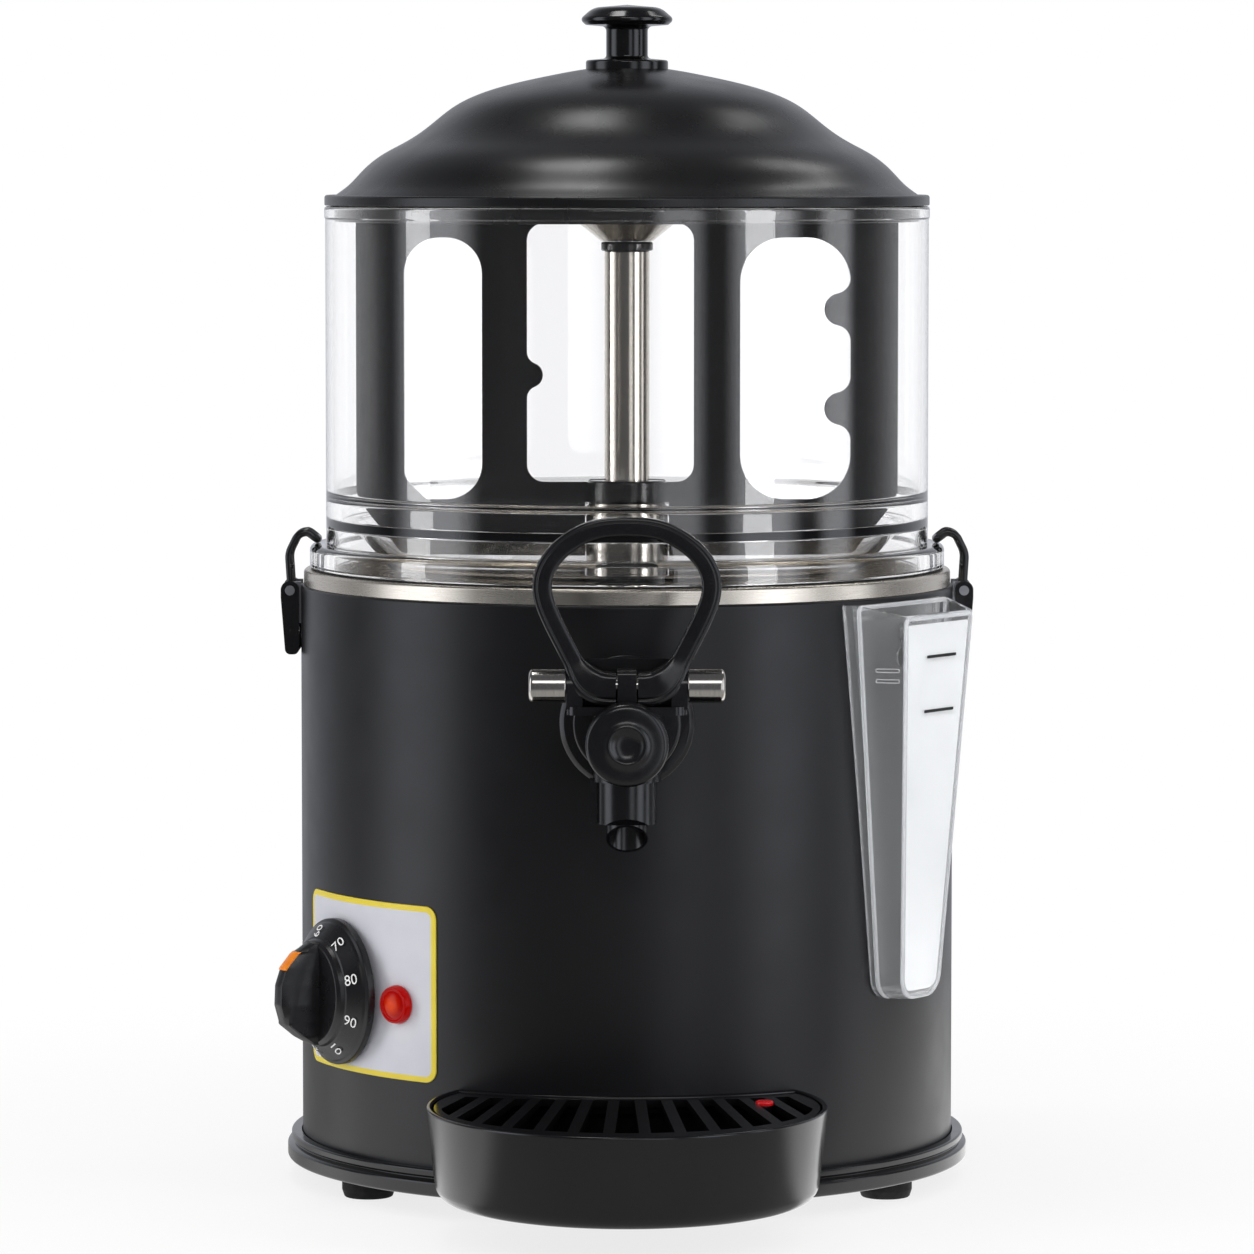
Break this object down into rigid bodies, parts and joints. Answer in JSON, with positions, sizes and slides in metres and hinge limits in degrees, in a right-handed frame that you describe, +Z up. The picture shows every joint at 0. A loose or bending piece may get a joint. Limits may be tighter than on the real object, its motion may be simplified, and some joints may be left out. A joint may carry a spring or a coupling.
{
  "type": "hot chocolate dispenser",
  "caption": "Countertop drink dispenser: clear bowl on a black heated body, stirring paddle, domed lid, lever tap, drip tray, side clips and a clip-on level cup.",
  "frame": {"origin": "on the bowl's vertical axis, in the plane that the feet stand on", "axes": "+Z up, -Y towards the tap and the drip tray, +X towards the level cup"},
  "size_m": [0.2878, 0.3882, 0.481],
  "materials": {
    "body_paint": "matt black powder coat",
    "black_plastic": "satin black moulded plastic",
    "lid_plastic": "black plastic with a fine texture",
    "clear_plastic": "clear polycarbonate",
    "steel": "brushed stainless steel",
    "black_wire": "black-coated steel wire",
    "rubber": "black rubber",
    "panel_grey": "printed grey panel with a yellow border",
    "lamp_red": "red translucent lens",
    "float_red": "red plastic",
    "pointer_orange": "orange plastic",
    "scale_white": "white plastic"
  },
  "bodies": {
    "machine": {"base_ring": "black_plastic", "base_plate": "body_paint", "foot_1": "rubber", "foot_2": "rubber", "foot_3": "rubber", "foot_4": "rubber", "outer_housing": "body_paint", "panel_plate": "panel_grey", "cord_gland": "black_plastic", "water_bath": "steel", "bath_heater": "steel", "motor_bracket": "steel", "gear_motor": "black_plastic", "drive_column": "steel", "column_hub": "steel", "column_bushes": "black_plastic", "outlet_elbow": "rubber", "bowl_gasket": "rubber", "bowl": "clear_plastic", "bowl_flange": "clear_plastic", "bowl_slope": "clear_plastic", "bowl_floor": "clear_plastic", "tap_escutcheon": "black_plastic", "tap_nut": "black_plastic", "tap_gasket": "rubber", "tap_body": "black_plastic", "tap_cap": "black_plastic", "tap_yoke": "black_plastic", "cross_rod": "steel", "tap_spring": "steel", "thermostat": "black_plastic", "lamp": "lamp_red", "tray_pins": "steel", "cup_stud": "steel", "latch_bracket_left": "steel", "latch_bracket_right": "steel"},
    "stirrer": {"drive_shaft": "steel", "paddle": "black_plastic", "cone_cap": "steel", "cap_nut": "steel"},
    "lid": {"lid": "lid_plastic", "lid_crown": "lid_plastic", "lid_skirt": "lid_plastic", "lid_knob": "lid_plastic", "knob_screw": "steel"},
    "tap_lever": {"tap_lever": "black_plastic"},
    "tap_plunger": {"tap_plunger": "black_plastic", "valve_seal": "rubber"},
    "dial": {"dial": "black_plastic", "dial_pointer": "pointer_orange", "dial_spindle": "steel"},
    "latch_lever_left": {"latch_lever_left": "black_plastic"},
    "latch_bail_left": {"latch_bail_left": "black_wire"},
    "latch_lever_right": {"latch_lever_right": "black_plastic"},
    "latch_bail_right": {"latch_bail_right": "black_wire"},
    "drip_tray": {"drip_tray": "black_plastic"},
    "drip_grille": {"drip_grille": "black_plastic"},
    "full_float": {"full_float": "float_red"},
    "level_cup": {"level_cup": "clear_plastic", "level_scale": "scale_white"}
  },
  "joints": [
    {"name": "stirrer_spin", "type": "hinge", "parent": "machine", "child": "stirrer", "pos_m": [0, 0, 0.33], "axis": [0, 0, 1], "continuous": true},
    {"name": "lid_lift", "type": "slide", "parent": "machine", "child": "lid", "axis": [0, 0, 1], "range_m": [0, 0.12]},
    {"name": "tap_lever_pull", "type": "hinge", "parent": "machine", "child": "tap_lever", "pos_m": [0, -0.181, 0.2172], "axis": [1, 0, 0], "range_deg": [0, 38], "stiffness_Nm_per_rad": 0.35, "springref_deg": -17.19, "deforming": ["tap_spring"]},
    {"name": "tap_plunger_rise", "type": "slide", "parent": "machine", "child": "tap_plunger", "axis": [0, 0, 1], "range_m": [0, 0.0047]},
    {"name": "dial_turn", "type": "hinge", "parent": "machine", "child": "dial", "pos_m": [-0.1198, -0.07341, 0.085], "axis": [-0.8526, -0.5225, 0], "range_deg": [-270, 0]},
    {"name": "latch_left_open", "type": "hinge", "parent": "machine", "child": "latch_lever_left", "pos_m": [-0.1379, 0, 0.2422], "axis": [0, 1, 0], "range_deg": [0, 75]},
    {"name": "bail_left_swing", "type": "hinge", "parent": "latch_lever_left", "child": "latch_bail_left", "pos_m": [-0.1367, 0, 0.2248], "axis": [0, 1, 0], "range_deg": [-94, 0]},
    {"name": "latch_right_open", "type": "hinge", "parent": "machine", "child": "latch_lever_right", "pos_m": [0.1379, 0, 0.2422], "axis": [0, -1, 0], "range_deg": [0, 75]},
    {"name": "bail_right_swing", "type": "hinge", "parent": "latch_lever_right", "child": "latch_bail_right", "pos_m": [0.1367, 0, 0.2248], "axis": [0, -1, 0], "range_deg": [-94, 0]},
    {"name": "tray_slide", "type": "slide", "parent": "machine", "child": "drip_tray", "axis": [0, -1, 0], "range_m": [0, 0.08]},
    {"name": "grille_lift", "type": "slide", "parent": "drip_tray", "child": "drip_grille", "axis": [0, 0, 1], "range_m": [0, 0.04]},
    {"name": "float_rise", "type": "slide", "parent": "drip_tray", "child": "full_float", "axis": [0, 0, 1], "range_m": [0, 0.01]},
    {"name": "cup_lift", "type": "slide", "parent": "machine", "child": "level_cup", "axis": [0, 0, 1], "range_m": [0, 0.01]}
  ],
  "couplings": [
    {"joint": "tap_plunger_rise", "follows": "tap_lever_pull", "m_per_rad": 0.006962},
    {"joint": "bail_left_swing", "follows": "latch_left_open", "ratio": -1.25},
    {"joint": "bail_right_swing", "follows": "latch_right_open", "ratio": -1.25}
  ]
}
